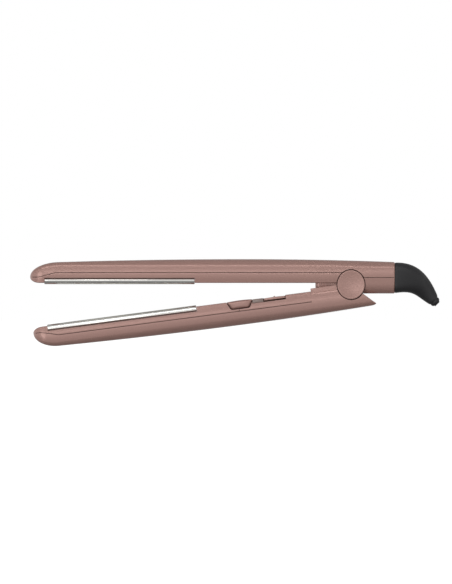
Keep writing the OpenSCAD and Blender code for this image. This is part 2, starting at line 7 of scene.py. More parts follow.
import bmesh
import bpy
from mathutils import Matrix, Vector

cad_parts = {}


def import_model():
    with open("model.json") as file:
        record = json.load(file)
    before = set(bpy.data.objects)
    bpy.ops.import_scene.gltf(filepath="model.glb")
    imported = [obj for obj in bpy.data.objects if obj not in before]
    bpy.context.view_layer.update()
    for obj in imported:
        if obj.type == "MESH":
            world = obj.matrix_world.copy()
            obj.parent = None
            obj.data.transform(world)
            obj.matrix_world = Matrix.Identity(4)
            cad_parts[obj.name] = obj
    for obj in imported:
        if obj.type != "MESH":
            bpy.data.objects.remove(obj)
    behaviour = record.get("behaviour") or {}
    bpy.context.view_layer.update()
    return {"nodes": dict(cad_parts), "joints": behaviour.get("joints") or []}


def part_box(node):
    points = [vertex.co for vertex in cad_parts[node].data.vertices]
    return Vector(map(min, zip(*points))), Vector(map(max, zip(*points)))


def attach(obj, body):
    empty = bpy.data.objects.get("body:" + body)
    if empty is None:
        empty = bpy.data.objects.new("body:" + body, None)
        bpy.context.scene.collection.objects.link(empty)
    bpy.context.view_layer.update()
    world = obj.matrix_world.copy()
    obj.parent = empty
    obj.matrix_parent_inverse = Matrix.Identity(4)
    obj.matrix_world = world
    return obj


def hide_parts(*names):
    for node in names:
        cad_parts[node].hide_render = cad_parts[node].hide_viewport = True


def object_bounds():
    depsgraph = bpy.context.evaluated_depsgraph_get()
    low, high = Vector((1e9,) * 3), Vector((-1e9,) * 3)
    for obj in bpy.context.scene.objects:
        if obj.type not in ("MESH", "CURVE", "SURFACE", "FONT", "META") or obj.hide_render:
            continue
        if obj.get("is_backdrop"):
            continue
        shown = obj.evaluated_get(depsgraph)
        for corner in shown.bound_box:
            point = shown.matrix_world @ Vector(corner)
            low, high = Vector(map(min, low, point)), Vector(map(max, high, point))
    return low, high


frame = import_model()

# ---- Driving dimensions, in millimetres in an arm's own frame ---------------------------
# The hinge axis is at the origin, the tip at -X, the back of the arm at +Z.

MM = 0.001
JOINTS = {joint["name"]: joint for joint in frame["joints"]}
HINGE = Vector(JOINTS["main_hinge"]["pos_m"])
OPEN = math.radians(JOINTS["main_hinge"]["range_deg"][1])


def from_hinge(node):
    """Lowest and highest corner of a node of the level upper arm, in its arm frame."""
    low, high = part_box(node)
    return (low - HINGE) / MM, (high - HINGE) / MM


SHELL_LOW, SHELL_HIGH = from_hinge("upper_outer_shell")
PLATE_LOW, PLATE_HIGH = from_hinge("upper_plate")
HEATER_LOW = from_hinge("upper_heater")[0]
COVER_HIGH = from_hinge("left_hinge_cover")[1]

HALF = SHELL_HIGH.y               # half width of the arms
HOUSING_REAR = SHELL_HIGH.x       # rear end of the upper arm, where the boot starts
FACE = 1.25                       # parting face over the hinge axis
SEAM = 8.8                        # seam between the inner and outer shells
WALL = 1.6
TIP_Z = 5.6                       # height of the foremost point of the tip
NOSE = 7.0                        # length of the curve under the tip
CORNER = 11.0                     # corner of the tip seen from above
NOTCH = 4.96                      # edge of the shell over the plate
PLATE_GAP = 0.14
HOUSING_LOW = -6.5                # underside of the rear housing
HOUSING_FRONT = 8.9
REAR_SEAM = 5.2
HOUSING_SLOPE = 0.14              # lean of the rear housing's sides under the seam
SEAM_GAP = 0.16                   # half of the groove along the seam
SHOULDER = math.radians(25)       # tilt of the shoulder where it leaves the crease

UPPER = Shape(reach=-SHELL_LOW.x, tip=22.0, peak_x=-78.0, peak=SHELL_HIGH.z,
              front_r=4340.0, rear_r=2900.0, upper=True)
LOWER = Shape(reach=235.4, tip=18.5, peak_x=-88.0, peak=18.985,
              front_r=4100.0, rear_r=2950.0, upper=False)

COVER_R = COVER_HIGH.x
COVER_GAP = 0.6
COVER_OVAL = 0.94                 # the covers are a little narrower than high
KNUCKLE_HALF = 8.8
KNUCKLE_R, KNUCKLE_ROOM = 7.5, 8.0   # knuckle of the upper arm and the room for it
EAR_IN, EAR_OUT = 9.1, 11.8
EYE_R, EYE_ROOM = 8.2, 8.7           # eyes of the lower arm's ears and the room for them
PIN_HOLE, BUSH_HOLE = 2.0, 3.25      # radii
SPRING_ROOM_R, SPRING_ROOM_HALF = 6.0, 4.4
CROSS_WALL, CROSS_HALF = 1, 12.4     # walls before and behind the plates
CROSS_LEVELS = (2.2, 7.6)
BUTTON_X = -82.5
BUTTON_HALF = 9.35                # half length of the button's cap at the face
CAP_DEPTH, SLOT_DEPTH = 5.4, 6.0  # how far the cap and its slot reach into the arm
SLOT_CLEAR = 0.3
SKIRT_HALF, SKIRT_SIDE = 9.6, 11.6   # half length and half width of the cap's skirt
WELL_HALF, WELL_SIDE = 9.67, 11.7    # the same for the well round the skirt
BENCH_IN, BENCH_OUT = 9.2, 12.4      # benches under the cap, from the arm's middle
BENCH_END = 9                        # their ends, from the cap's middle
BENCH_LEVELS = (3.9, 7.6)
CONTROL_SPLIT = -83.5
SPLIT_GAP = 0.2                   # half of the gap between inner shell and control cover
PANEL_FRONT, PANEL_REAR, PANEL_Z = -73.4, -48.6, 4.35
ROCKER_X, ROCKER_LEN = -56.8, 15.4
ROCKER_PIVOT, ROCKER_R = 5.1, 8.2  # the rocker's ends are turned about its pivot
BLOCK_FRONT, BLOCK_REAR = 8.33, 8.6  # outer ends of the blocks before and behind the rocker
LENS_END = 8.36                   # rear end of the lens, from the rocker's middle
YOKE_FRONT = -30.6                # front of the solid yoke
ON_AXIS = 0.00001                 # radius that stands for the axis of a turned solid
OUTLET = Vector((61.2, 0, -11.9))


def on_upper(p):
    """Point of the upper arm's frame in the shared frame, in metres."""
    return HINGE + Vector(p) * MM


def on_lower(p):
    """Point of the lower arm's frame, which is mirrored and swung open."""
    x, y, z = p
    swung = Vector((x * math.cos(OPEN) + z * math.sin(OPEN), y,
                    x * math.sin(OPEN) - z * math.cos(OPEN)))
    return HINGE + swung * MM


def place_of(arm):
    return on_upper if arm.upper else on_lower


# ---- Mesh tools -------------------------------------------------------------------------

def spread(start, end, count):
    """Evenly spaced values, both ends included."""
    return [start + (end - start) * i / (count - 1) for i in range(count)]


def ramp(x, start, end):
    """Goes evenly from 0 at start to 1 at end."""
    return min(1.0, max(0.0, (x - start) / (end - start)))


def smooth(x, start, end):
    t = ramp(x, start, end)
    return t * t * (3 - 2 * t)


def arc(middle, a, b, start, end, count):
    """Points on part of an ellipse; the angles are in degrees."""
    return [(middle[0] + a * math.cos(math.radians(t)), middle[1] + b * math.sin(math.radians(t)))
            for t in spread(start, end, count)]


def new_piece(name, points, faces, place=on_upper):
    """A mesh object from points in an arm frame, with its faces turned outwards."""
    mesh = bpy.data.meshes.new(name)
    mesh.from_pydata([place(p) for p in points], [], faces)
    work = bmesh.new()
    work.from_mesh(mesh)
    bmesh.ops.remove_doubles(work, verts=work.verts, dist=2e-7)
    bmesh.ops.dissolve_degenerate(work, edges=work.edges, dist=2e-7)
    bmesh.ops.recalc_face_normals(work, faces=work.faces)
    work.to_mesh(mesh)
    work.free()
    piece = bpy.data.objects.new(name, mesh)
    bpy.context.scene.collection.objects.link(piece)
    return piece


def shell(name, outer, inner, keep, place):
    """A wall between two grids of points; keep(i, j) says which squares of the grid exist."""
    rows, columns = len(outer), len(outer[0])
    count = rows * columns
    points = [p for row in outer for p in row] + [p for row in inner for p in row]
    kept = {(i, j) for j in range(rows - 1) for i in range(columns - 1) if keep(i, j)}
    faces = []
    for i, j in sorted(kept):
        a, b = j * columns + i, j * columns + i + 1
        c, d = b + columns, a + columns
        faces += [(a, b, c, d), (a + count, d + count, c + count, b + count)]
        edges = (((i, j - 1), a, b), ((i + 1, j), b, c), ((i, j + 1), c, d), ((i - 1, j), d, a))
        faces += [(q, p, p + count, q + count) for beside, p, q in edges if beside not in kept]
    return new_piece(name, points, faces, place)


def tube(name, rings, place=on_upper):
    """A closed solid through rings with equal numbers of points."""
    count = len(rings[0])
    points = [p for ring in rings for p in ring]
    faces = [tuple(range(count)), tuple(range(len(points) - 1, len(points) - count - 1, -1))]
    for i in range(len(rings) - 1):
        for k in range(count):
            a, b = i * count + k, i * count + (k + 1) % count
            faces.append((a, b, b + count, a + count))
    return new_piece(name, points, faces, place)


def prism(outline, start, end, place):
    """An outline in X and Z drawn out across the arm."""
    return tube("tool", [[(x, y, z) for x, z in outline] for y in (start, end)], place)


def block(low, high, place):
    outline = [(low[0], low[2]), (high[0], low[2]), (high[0], high[2]), (low[0], high[2])]
    return prism(outline, low[1], high[1], place)


def bar(radius, start, end, place, at=(0, 0)):
    outline = arc(at, radius, radius, 0, 360, 145)[:-1]
    return prism(outline, start, end, place)


def lathe(name, profile, count, place, pierced=True):
    """A turned solid through (radius, distance along the axis); pierced closes it round a hole."""
    rings = [[(r * math.cos(2 * math.pi * k / count), r * math.sin(2 * math.pi * k / count), h)
              for k in range(count)] for r, h in profile]
    points = [p for ring in rings for p in ring]
    faces = []
    for i in range(len(rings) if pierced else len(rings) - 1):
        n = (i + 1) % len(rings)
        for k in range(count):
            m = (k + 1) % count
            faces.append((i * count + k, i * count + m, n * count + m, n * count + k))
    return new_piece(name, points, faces, place)


def combine(piece, tool, operation="DIFFERENCE"):
    """Cuts a piece with a tool, or joins the tool to it, and throws the tool away."""
    change = piece.modifiers.new("change", "BOOLEAN")
    change.operation = operation
    change.solver = "EXACT"
    change.object = tool
    done = bpy.data.meshes.new_from_object(
        piece.evaluated_get(bpy.context.evaluated_depsgraph_get()))
    piece.modifiers.clear()
    before = piece.data
    piece.data = done
    bpy.data.meshes.remove(before)
    bpy.data.objects.remove(tool)


def side_block(start, end, along, high):
    """Block in the lower arm between two distances from its middle."""
    return block((along[0], start, high[0]), (along[1], end, high[1]), on_lower)


def both_sides(tool, start, end, *rest):
    """The same tool on both sides of the arm."""
    return [tool(start, end, *rest), tool(-end, -start, *rest)]


def finish_piece(piece, body, material, nodes, angle=32):
    """Shading, material, body and the CAD nodes that the piece stands for."""
    for face in piece.data.polygons:
        face.use_smooth = True
    piece.data.set_sharp_from_angle(angle=math.radians(angle))
    piece.data.materials.clear()
    piece.data.materials.append(material)
    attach(piece, body)
    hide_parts(*nodes)


def paint(piece, material, inside):
    """Gives one more material to the faces whose middle passes a test."""
    piece.data.materials.append(material)
    for face in piece.data.polygons:
        if inside(face.center):
            face.material_index = len(piece.data.materials) - 1


def to_upper(p):
    return (Vector(p) - HINGE) / MM


def to_lower(p):
    """Point of the shared frame back in the lower arm's frame."""
    x, y, z = to_upper(p)
    return Vector((x * math.cos(OPEN) + z * math.sin(OPEN), y,
                   x * math.sin(OPEN) - z * math.cos(OPEN)))


# ---- Materials --------------------------------------------------------------------------

def new_material(name, roughness, **sockets):
    material = bpy.data.materials.new(name)
    material.use_nodes = True
    shader = material.node_tree.nodes["Principled BSDF"]
    shader.inputs["Roughness"].default_value = roughness
    for socket, value in sockets.items():
        shader.inputs[socket.replace("_", " ")].default_value = value
    return material, material.node_tree, shader


def noise(tree, scale, detail=3.0, stretch=(1, 1, 1)):
    """Noise that is fixed to the object."""
    place = tree.nodes.new("ShaderNodeTexCoord")
    mapping = tree.nodes.new("ShaderNodeMapping")
    mapping.inputs["Scale"].default_value = stretch
    texture = tree.nodes.new("ShaderNodeTexNoise")
    texture.inputs["Scale"].default_value = scale
    texture.inputs["Detail"].default_value = detail
    tree.links.new(place.outputs["Object"], mapping.inputs["Vector"])
    tree.links.new(mapping.outputs["Vector"], texture.inputs["Vector"])
    return texture.outputs["Fac"]


def varied(tree, value, low, high):
    """Maps noise onto a range of values."""
    spread_node = tree.nodes.new("ShaderNodeMapRange")
    spread_node.inputs["From Min"].default_value = 0.3
    spread_node.inputs["From Max"].default_value = 0.7
    spread_node.inputs["To Min"].default_value = low
    spread_node.inputs["To Max"].default_value = high
    tree.links.new(value, spread_node.inputs["Value"])
    return spread_node.outputs["Result"]


def tinted(tree, value, dark, light):
    """Maps noise onto two near colours."""
    mix = tree.nodes.new("ShaderNodeMix")
    mix.data_type = "RGBA"
    mix.inputs["A"].default_value = (*dark, 1)
    mix.inputs["B"].default_value = (*light, 1)
    tree.links.new(varied(tree, value, 0, 1), mix.inputs["Factor"])
    return mix.outputs["Result"]


def bump(tree, shader, value, distance, strength=1.0):
    node = tree.nodes.new("ShaderNodeBump")
    node.inputs["Distance"].default_value = distance
    node.inputs["Strength"].default_value = strength
    tree.links.new(value, node.inputs["Height"])
    tree.links.new(node.outputs["Normal"], shader.inputs["Normal"])


def shade(colour, factor):
    return tuple(c * factor for c in colour)


def surface(name, colour, roughness, grain, grain_depth, vary=0.05, stretch=(1, 1, 1), **sockets):
    """A plain material with slight colour variation, uneven gloss and a fine grain."""
    material, tree, shader = new_material(name, roughness, **sockets)
    patches = noise(tree, 60)
    tone = tinted(tree, patches, shade(colour, 1 - vary), shade(colour, 1 + vary))
    tree.links.new(tone, shader.inputs["Base Color"])
    fine = noise(tree, grain, 2.0, stretch)
    gloss = varied(tree, fine, roughness * 0.94, roughness * 1.06)
    tree.links.new(gloss, shader.inputs["Roughness"])
    bump(tree, shader, fine, grain_depth)
    return material


ROSE = surface("rose_plastic", (0.46, 0.272, 0.234), 0.26, 2600, 0.0000003, 0.012, Metallic=0.3)
BLACK = surface("black_plastic", (0.018, 0.0175, 0.0195), 0.5, 1800, 0.00004, 0.12)
SILVER = surface("plate_metal", (0.96, 0.95, 0.91), 0.14, 900, 0.000001, 0.01,
                 (0.04, 1, 1), Metallic=1.0)
LENS = surface("lens_plastic", (0.26, 0.185, 0.16), 0.2, 700, 0.000002, 0.08,
               Coat_Weight=1.0, Coat_Roughness=0.05)
# Painted shade: a near-black colour for faces inside gaps and recesses (seams, cover gaps, rocker
# underside), standing in for the shade there.
PAINTED_GAP_SHADE = surface("groove_painted_shade", (0.035, 0.02, 0.017), 0.6, 1500, 0.00001, 0.05,
                 Specular_IOR_Level=0.1)
# Painted shade: a dark colour for the inner surfaces seen through the gaps round the button and
# controls.
PAINTED_SLOT_SHADE = surface("slot_painted_shade", (0.09, 0.054, 0.046), 0.6, 1500, 0.00001, 0.05,
               Specular_IOR_Level=0.1)
# Painted shade: a dull colour for the plate's back, so the gap over the plate reads dark.
PAINTED_RAIL_SHADE = surface("rail_painted_shade", (0.42, 0.27, 0.235), 0.5, 1500, 0.00001, 0.05)
CARRIER = surface("carrier_plastic", (0.012, 0.012, 0.012), 0.55, 1500, 0.00003, 0.15)
CLAMP = surface("clamp_metal", (0.62, 0.62, 0.61), 0.34, 1200, 0.00001, 0.05,
                (0.05, 1, 1), Metallic=1.0)
STEEL = surface("spring_steel", (0.5, 0.51, 0.52), 0.26, 1500, 0.000008, 0.05,
                (0.1, 1, 1), Metallic=1.0)
BRASS = surface("bush_brass", (0.72, 0.5, 0.2), 0.28, 1500, 0.000006, 0.06, Metallic=1.0)
CERAMIC = surface("heater_ceramic", (0.78, 0.75, 0.67), 0.45, 1400, 0.00002, 0.04)
BOARD = surface("circuit_board", (0.012, 0.12, 0.045), 0.32, 800, 0.00002, 0.15)
COMPONENT = surface("component_plastic", (0.02, 0.02, 0.022), 0.4, 1500, 0.00002, 0.15)
LEAD = surface("lead_sleeve", (0.42, 0.03, 0.02), 0.5, 1200, 0.00002, 0.08)

INNER_MATERIALS = {
    "upper_plate_carrier": CARRIER, "lower_plate_carrier": CARRIER,
    "upper_plate_springs": STEEL, "lower_plate_springs": STEEL,
    "upper_screws": STEEL, "lower_screws": STEEL,
    "upper_heater": CERAMIC, "lower_heater": CERAMIC,
    "upper_heater_clamp": CLAMP, "lower_heater_clamp": CLAMP,
    "upper_thermostat": CERAMIC, "lower_thermostat": CERAMIC,
    "upper_leads": LEAD, "lower_leads": LEAD,
    "power_board": BOARD, "power_board_parts": COMPONENT,
    "control_board": BOARD, "touch_switches": COMPONENT, "display_module": COMPONENT,
    "hinge_pin": STEEL, "hinge_spring": STEEL, "hinge_bushes": BRASS, "swivel_retainer": STEEL,
}
for node, material in INNER_MATERIALS.items():
    mesh = frame["nodes"][node].data
    mesh.materials.clear()
    mesh.materials.append(material)

# ---- The arms' form ---------------------------------------------------------------------

def back_height(arm, x):
    radius = arm.front_r if x < arm.peak_x else arm.rear_r
    return arm.peak - (x - arm.peak_x) ** 2 / (2 * radius)


def tip_scale(arm, x, length):
    """Height of a rounded end, from 0 at the tip to 1 at its full section."""
    return math.sqrt(1 - (1 - ramp(x + arm.reach, 0, length)) ** 2)


def side(z):
    """Half width of the barrelled side at a height."""
    return HALF - (z - SEAM) ** 2 / (49 if z > SEAM else 56)


def seam_level(arm, x):
    level = 5.5 + (SEAM - 5.5) * ramp(x, 5.6 - arm.reach, 18.6 - arm.reach)
    if arm.upper:
        level += (REAR_SEAM - SEAM) * ramp(x, -2, 2)
    return level


def crease_level(arm, x):
    return 14.1 - (1.2 * smooth(x, -22, 16) if arm.upper else 0)


def narrowed(arm, x, y, z, inset):
    """Brings a point of the full section in towards the rounded tip."""
    wide = (HALF - CORNER + CORNER * tip_scale(arm, x, CORNER)) / HALF
    up = tip_scale(arm, x, arm.tip if z > TIP_Z else NOSE)
    along = x + inset * (1 - ramp(x + arm.reach, 0, arm.tip))
    return along, y * wide, TIP_Z + (z - TIP_Z) * up


def back_rows(arm, x, inset):
    """Right half of the outer shell's section, from the seam to the middle of the back."""
    low = seam_level(arm, x) + SEAM_GAP
    fold = crease_level(arm, x)
    top = back_height(arm, max(x, arm.tip - arm.reach)) - inset
    crown = 0.15
    radius = (top - crown - fold) / (1 - math.sin(SHOULDER))
    middle = (side(fold) - inset - radius * math.cos(SHOULDER), fold - radius * math.sin(SHOULDER))
    rows = [(side(low) - inset - (0 if inset else 0.15), low)]
    rows += [(side(z) - inset, z) for z in (low + 0.05, low + 0.2)]
    rows += [(side(z) - inset, z) for z in spread(low + 0.8, fold - 0.7, 6)]
    rows += arc(middle, radius, radius, math.degrees(SHOULDER), 90, 12)
    rows += [(y, top - crown * (y / middle[0]) ** 2) for y in spread(middle[0], 0, 5)[1:]]
    return rows


def face_level(arm, x):
    """Height of the inner face, which drops to the rear housing behind the hinge."""
    rear = ramp(x, HOUSING_FRONT, HOUSING_FRONT + 0.4) if arm.upper else 0
    return FACE + (HOUSING_LOW - FACE) * rear


TONGUE_ROWS = 4
NOTCH_ROW = TONGUE_ROWS + 4


def face_rows(arm, x, inset):
    """Right half of the inner shell's section, from the tongue in the seam to the middle."""
    top = seam_level(arm, x) - SEAM_GAP
    bottom = face_level(arm, x) + inset
    rear = ramp(x, HOUSING_FRONT, HOUSING_FRONT + 0.4) if arm.upper else 0
    notch = min(NOTCH, top - 0.6)
    tongue = (0, 0, 0, 0) if inset else (1.15, 1.15, 0.15, 0.03)
    levels = (top + 1.3, top, top, top - 0.08)
    rows = [(side(z) - inset - back, z) for z, back in zip(levels, tongue)]
    rows += [(side(z) - inset, z) for z in spread(top - 0.25, notch, 5)]

    def wall(z):
        return (1 - rear) * side(z) + rear * (side(notch) - HOUSING_SLOPE * (notch - z)) - inset

    wide, high = max(0.4, 0.9 + 6.1 * rear - inset), max(0.4, 0.9 + 6.6 * rear - inset)
    first = 8.6 * rear
    start = bottom + high * (1 - math.sin(math.radians(first)))
    rows += [(wall(z), z) for z in spread(notch, start, 5)[1:-1]]
    middle = (wall(start) - wide * math.cos(math.radians(first)), bottom + high)
    rows += arc(middle, wide, high, -first, -90, 9)
    rows += [(y, bottom) for y in spread(middle[0], 0, 5)[1:]]
    return rows


def stations(arm, start, end, extra=()):
    """Places of the sections along an arm, close together round the tip."""
    places = [arm.tip * (1 - math.cos(math.radians(t))) - arm.reach for t in spread(0, 90, 19)]
    places += [x for x in spread(-240, 40, 57) if x > arm.tip - arm.reach]
    places = [x for x in places if start < x < end and all(abs(x - e) > 0.45 for e in extra)]
    return sorted(set(places) | {start, end} | set(extra))


def grid(arm, rows_at, places, inset, trim):
    """Rows of points round the section, along the whole length, right side first."""
    columns = []
    for x in places:
        shrink = inset + trim(x)
        right = [narrowed(arm, x, y, z, inset) for y, z in rows_at(arm, x, shrink)]
        columns.append(right + [(px, -py, pz) for px, py, pz in reversed(right[:-1])])
    return [list(row) for row in zip(*columns)]


def in_seam_shade(arm, p):
    """Tells whether a place is in the groove between the shells, whose faces are painted dark as
    shade.
    """
    edge = Vector(narrowed(arm, p.x, side(SEAM), seam_level(arm, p.x), 0))
    over = p.z - edge.z
    lip = abs(over) < SEAM_GAP + 0.03 and abs(p.y) < edge.y - 0.08
    tongue = 0 < over < 1.4 and abs(p.y) < edge.y - 0.9
    return (lip or tongue) and p.x > 1.5 - arm.reach


def paint_seam_shade(piece, arm):
    back = to_upper if arm.upper else to_lower
    # Faces inside the seam's groove are painted dark as shade.
    paint(piece, PAINTED_GAP_SHADE, lambda p: in_seam_shade(arm, back(p)))


def arm_shell(name, arm, rows_at, start, end, extra=(), keep=None, trim=lambda x: 0.0):
    places = stations(arm, start, end, extra)
    outer = grid(arm, rows_at, places, 0, trim)
    inner = grid(arm, rows_at, places, WALL, trim)
    rows = len(outer)
    return shell(name, outer, inner,
                 lambda i, j: keep is None or keep(places[i], min(j, rows - 2 - j)), place_of(arm))


PLATE_ZONE = (PLATE_LOW.x - PLATE_GAP, PLATE_HIGH.x + PLATE_GAP)


def beside_plate(x, row):
    """Leaves only the side walls over the plate."""
    return row < NOTCH_ROW or not PLATE_ZONE[0] - 0.01 <= x < PLATE_ZONE[1] - 0.01


def rear_edge(x):
    """Rounded rear edge of the upper arm in front of the boot."""
    t = ramp(x, HOUSING_REAR - 0.8, HOUSING_REAR)
    return 0.8 * (1 - math.sqrt(1 - t * t))


REAR_STATIONS = [HOUSING_REAR - 0.8 * math.cos(math.radians(t)) for t in (0, 35, 55, 72)]


def cut_cover_room(piece, place):
    room = COVER_R + COVER_GAP
    outline = arc((0, 0), room * COVER_OVAL, room, 0, 360, 145)[:-1]
    for start, end in ((EAR_OUT + 0.25, 20), (-20, -EAR_OUT - 0.25)):
        combine(piece, prism(outline, start, end, place))


def close_plate_zone(piece, place):
    """Adds the walls across the arm before and behind the plate."""
    low, high = CROSS_LEVELS
    for x in (PLATE_ZONE[0] - CROSS_WALL, PLATE_ZONE[1]):
        wall = block((x, -CROSS_HALF, low), (x + CROSS_WALL, CROSS_HALF, high), place)
        combine(piece, wall, "UNION")


# ---- Upper arm --------------------------------------------------------------------------

def upper_outer_shell():
    piece = arm_shell("upper_outer_shell_skin", UPPER, back_rows, -UPPER.reach, HOUSING_REAR,
                      [-2, 2, *REAR_STATIONS], trim=rear_edge)
    cut_cover_room(piece, on_upper)
    finish_piece(piece, "upper_arm", ROSE, ["upper_outer_shell"])
    paint_seam_shade(piece, UPPER)


def hinge_foot():
    """Foot under the upper arm with rounded front corners, seen from above."""
    front, rear, radius, fillet = -26.0, -4.0, 3.6, 0.7
    rings = []
    for z, inset in [(3.0, 0), (-1.8, 0)] + [
            (-1.8 - fillet * math.sin(math.radians(t)), fillet * (1 - math.cos(math.radians(t))))
            for t in (30, 60, 90)]:
        half, r = KNUCKLE_HALF - inset, radius - inset
        corner = arc((front + radius, half - r), r, r, 90, 180, 9)
        ring = [(rear, half)] + corner + [(x, -y) for x, y in reversed(corner)] + [(rear, -half)]
        rings.append([(x, y, z) for x, y in ring])
    return tube("tool", rings, on_upper)


def upper_inner_shell():
    extra = [*PLATE_ZONE, -2, 2, HOUSING_FRONT, HOUSING_FRONT + 0.4, *REAR_STATIONS]
    piece = arm_shell("upper_inner_shell_skin", UPPER, face_rows, -UPPER.reach, HOUSING_REAR,
                      extra, beside_plate, rear_edge)
    close_plate_zone(piece, on_upper)
    combine(piece, hinge_foot(), "UNION")
    combine(piece, bar(KNUCKLE_R, -KNUCKLE_HALF, KNUCKLE_HALF, on_upper), "UNION")
    combine(piece, block((1, -KNUCKLE_HALF, -5), (10, KNUCKLE_HALF, 4), on_upper), "UNION")
    for start, end in ((KNUCKLE_HALF, 12.4), (-12.4, -KNUCKLE_HALF)):
        combine(piece, bar(EYE_ROOM, start, end, on_upper))
    combine(piece, bar(PIN_HOLE, -20, 20, on_upper))
    combine(piece, bar(SPRING_ROOM_R, -SPRING_ROOM_HALF, SPRING_ROOM_HALF, on_upper))
    cut_cover_room(piece, on_upper)
    finish_piece(piece, "upper_arm", ROSE, ["upper_inner_shell"])
    paint_seam_shade(piece, UPPER)


def heated_plate(name, body, place):
    """Flat plate with rounded long edges, softened ends and two hooked rails on its back."""
    half, face, radius, top = PLATE_HIGH.y, PLATE_LOW.z, 3.0, 4.0
    base, hook = HEATER_LOW.z, 6.2
    rings = []
    ends = [(0.0, 0.3), (0.09, 0.09), (0.3, 0.0)]
    for x, inset in [(PLATE_LOW.x + d, i) for d, i in ends] + [
            (PLATE_HIGH.x - d, i) for d, i in reversed(ends)]:
        right = arc((half - radius, face + radius), radius - inset, radius - inset, -90, 0, 20)
        right += arc((half - 0.3 - inset, top - 0.3), 0.3, 0.3, 0, 90, 5)
        right += [(half - 1.3, top), (half - 1.7, base), (10.5, base), (10.5, hook), (11.4, hook),
                  (11.4, hook + 1), (9.0, hook + 1), (9.0, base)]
        left = [(-y, z) for y, z in reversed(right)]
        rings.append([(x, y, z) for y, z in right + left])
    piece = tube(name, rings, place)
    finish_piece(piece, body, SILVER, [name.replace("_skin", "")])
    back = to_upper if place is on_upper else to_lower
    # The plate's back and rails are painted dull instead of metal, as painted shade for the gap over
    # the plate.
    paint(piece, PAINTED_RAIL_SHADE, lambda p: back(p).z > top - 0.32)


# ---- Hinge covers -----------------------------------------------------------------------

DISH = 0.7                        # hollow of the covers' faces


def hinge_cover(name, sign):
    """Round cover with a softly dished face, a rounded rim and a gap round it whose faces are
    painted dark as shade.
    """
    inner, outer, r = EAR_OUT + 0.3, COVER_HIGH.y, COVER_R
    flange, edge = r + COVER_GAP - 0.04, 0.45
    profile = [(ON_AXIS, inner), (flange, inner), (flange, outer - 1.5)]
    profile += [(r, outer - 1.45), (r, outer - edge)]
    profile += [(r - edge + edge * math.cos(math.radians(t)),
                 outer - edge + edge * math.sin(math.radians(t))) for t in (22, 45, 67, 90)]
    rim = r - 0.75
    profile += [(rim * u, outer - DISH * (1 - u * u)) for u in spread(1, ON_AXIS, 12)]

    def place(p):
        return on_upper((p[0] * COVER_OVAL, sign * p[2], p[1]))

    piece = lathe(name, profile, 128, place, False)
    finish_piece(piece, "upper_arm", ROSE, [name.replace("_skin", "")], 60)
    # The flange in the gap round the cover is painted dark as shade.
    paint(piece, PAINTED_GAP_SHADE, lambda p: abs(to_upper(p).y) < outer - 1.4)


# ---- Lower arm --------------------------------------------------------------------------

TAIL = [(3, FACE), (7.4, 7.2), (14.6, 14.1), (16.1, 15.2), (16.5, 16.1)]
YOKE_FACE = 2.4                   # ledge along the yoke, under the ears
STEP_FRONT = -29.4                # front of the ears' feet
PLUG_END = YOKE_FRONT + 0.4       # the yoke reaches this far into the shell in front of it


def tail_face(x):
    """Height of the slanted face behind the hinge."""
    for (x0, z0), (x1, z1) in zip(TAIL, TAIL[1:]):
        if x <= x1:
            return max(YOKE_FACE, z0 + (z1 - z0) * ramp(x, x0, x1))
    return TAIL[-1][1]


def width_at(outline, z):
    """Half width of an outline, which rises from its first point, at a height."""
    for (y0, z0), (y1, z1) in zip(outline, outline[1:]):
        if z <= z1:
            return y0 + (y1 - y0) * ramp(z, z0, z1)
    return outline[-1][0]


def yoke_ring(x):
    """Closed section of the solid yoke and of the tail behind it."""
    plug = x < PLUG_END - 0.01
    inset = WALL + 0.1 if plug else 0.0
    bottom = FACE + inset if x < STEP_FRONT else tail_face(x)
    back = back_rows(LOWER, x, inset / 2)[3:]
    outline = [(side(z) - inset, z) for z in spread(0, back[0][1], 9)[:-1]] + back
    drop = 1.6 * (1 - math.sqrt(1 - ramp(x, 13, 16.5) ** 2))
    top = max(back[-1][1] - drop, bottom + 0.4)
    start = bottom + min(1.15, 0.45 * (top - bottom))
    wide = width_at(outline, start)
    if x < STEP_FRONT:
        lean, radius, last = 0.0, start - bottom, -8
    else:
        lean, radius, last = 0.25, 0.32 * (start - bottom), -17
    middle = (wide - lean - radius, bottom + radius)
    right = [(middle[0] * u, bottom) for u in (0.0, 0.5)] + arc(middle, radius, radius, -90, last, 6)
    right.append((wide, start))
    right += [(y, min(z, top)) if z > start else (wide, start) for y, z in outline]
    left = [(-y, z) for y, z in reversed(right[1:-1])]
    return [(x, y, z) for y, z in right + left]


def yoke():
    places = [YOKE_FRONT, PLUG_END - 0.05, PLUG_END, STEP_FRONT - 0.05, STEP_FRONT + 0.05]
    places += spread(-25, 0, 6) + spread(3, 13, 9) + spread(13.5, 16.5, 8)
    return tube("lower_outer_shell_skin", [yoke_ring(x) for x in places], on_lower)


def ears():
    """Cheeks over the yoke, on both sides of the knuckle, with a rounded front."""
    front, top, inset = STEP_FRONT - 0.2, FACE - 2.2, 13.5
    outline = [(front, 6.0)] + arc((front + 0.3, top + 0.3), 0.3, 0.3, 180, 270, 4)
    outline += [(-6, top), (2, 5.0), (2, 6.5)]
    feet = [prism(outline, EAR_IN, inset, on_lower), prism(outline, -inset, -EAR_IN, on_lower)]
    eyes = [bar(EYE_R, EAR_IN, EAR_OUT, on_lower), bar(EYE_R, -EAR_OUT, -EAR_IN, on_lower)]
    return feet + eyes


